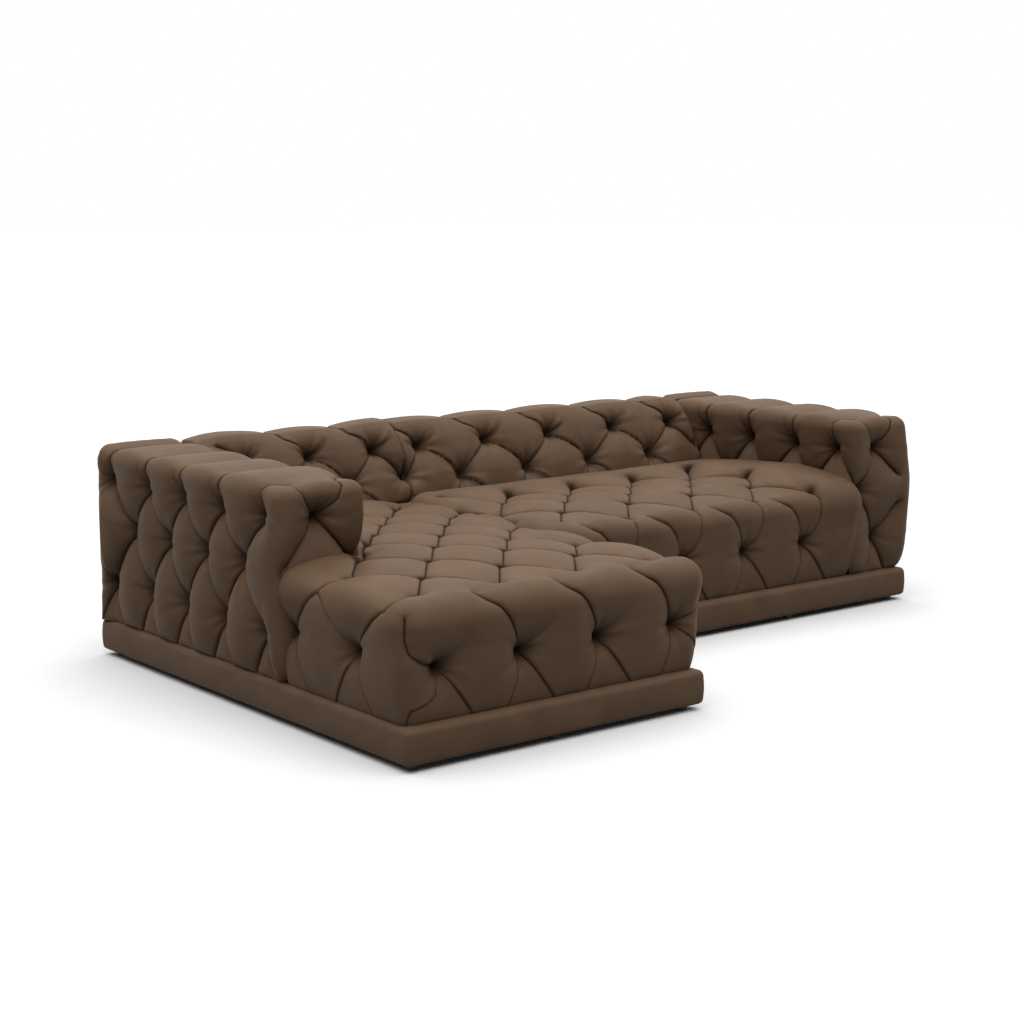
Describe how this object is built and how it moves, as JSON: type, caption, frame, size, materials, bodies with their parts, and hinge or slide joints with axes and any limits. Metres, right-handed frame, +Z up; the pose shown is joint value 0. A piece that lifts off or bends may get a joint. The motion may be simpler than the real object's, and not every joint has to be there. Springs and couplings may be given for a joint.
{
  "type": "corner sofa",
  "caption": "Low corner sofa with a long chaise, deep diamond-tufted brown leather seats, arms and backs on a plain padded plinth, in units that hook together.",
  "frame": {"origin": "on the floor, at the middle of the sofa's overall width and depth", "axes": "+X along the back from the chaise end to the right arm, +Y from the seat front to the back, +Z up"},
  "size_m": [2.86, 1.809, 0.736],
  "materials": {
    "tufted_leather": "satin",
    "plinth_leather": "satin",
    "foam": "matte",
    "felt": "matte",
    "webbing": "matte",
    "black_cloth": "matte",
    "black_plastic": "matte",
    "plywood": "sawn",
    "softwood": "sawn",
    "zinc_steel": "zinc plated"
  },
  "bodies": {
    "chaise_unit": {"chaise_back_cover": "tufted_leather", "chaise_back_padding": "foam", "chaise_back_panels": "plywood", "chaise_back_posts": "softwood", "chaise_base_rails": "softwood", "chaise_bottom_cloth": "black_cloth", "chaise_connector_blocks": "softwood", "chaise_connector_screws": "zinc_steel", "chaise_connector_sockets": "zinc_steel", "chaise_cross_webbing": "webbing", "chaise_glides": "black_plastic", "chaise_long_webbing": "webbing", "chaise_plinth_boards": "softwood", "chaise_plinth_screws": "zinc_steel", "chaise_plinth_top_plates": "softwood", "chaise_plinth_wrap": "plinth_leather", "chaise_seat_cleats": "softwood", "chaise_seat_cover": "tufted_leather", "chaise_seat_felt": "felt", "chaise_seat_foam": "foam", "left_arm_cover": "tufted_leather", "left_arm_padding": "foam", "left_arm_panels": "plywood", "left_arm_posts": "softwood"},
    "sofa_unit": {"right_arm_cover": "tufted_leather", "right_arm_padding": "foam", "right_arm_panels": "plywood", "right_arm_posts": "softwood", "sofa_back_cover": "tufted_leather", "sofa_back_padding": "foam", "sofa_back_panels": "plywood", "sofa_back_posts": "softwood", "sofa_base_rails": "softwood", "sofa_bottom_cloth": "black_cloth", "sofa_connector_blocks": "softwood", "sofa_connector_hooks": "zinc_steel", "sofa_connector_screws": "zinc_steel", "sofa_cross_webbing": "webbing", "sofa_glides": "black_plastic", "sofa_long_webbing": "webbing", "sofa_plinth_boards": "softwood", "sofa_plinth_screws": "zinc_steel", "sofa_plinth_top_plates": "softwood", "sofa_plinth_wrap": "plinth_leather", "sofa_seat_cleats": "softwood", "sofa_seat_cover": "tufted_leather", "sofa_seat_felt": "felt", "sofa_seat_foam": "foam"}
  },
  "joints": [
    {"name": "sofa_unit_lift", "type": "slide", "parent": "chaise_unit", "child": "sofa_unit", "axis": [0, 0, 1], "range_m": [0, 0.06]}
  ]
}
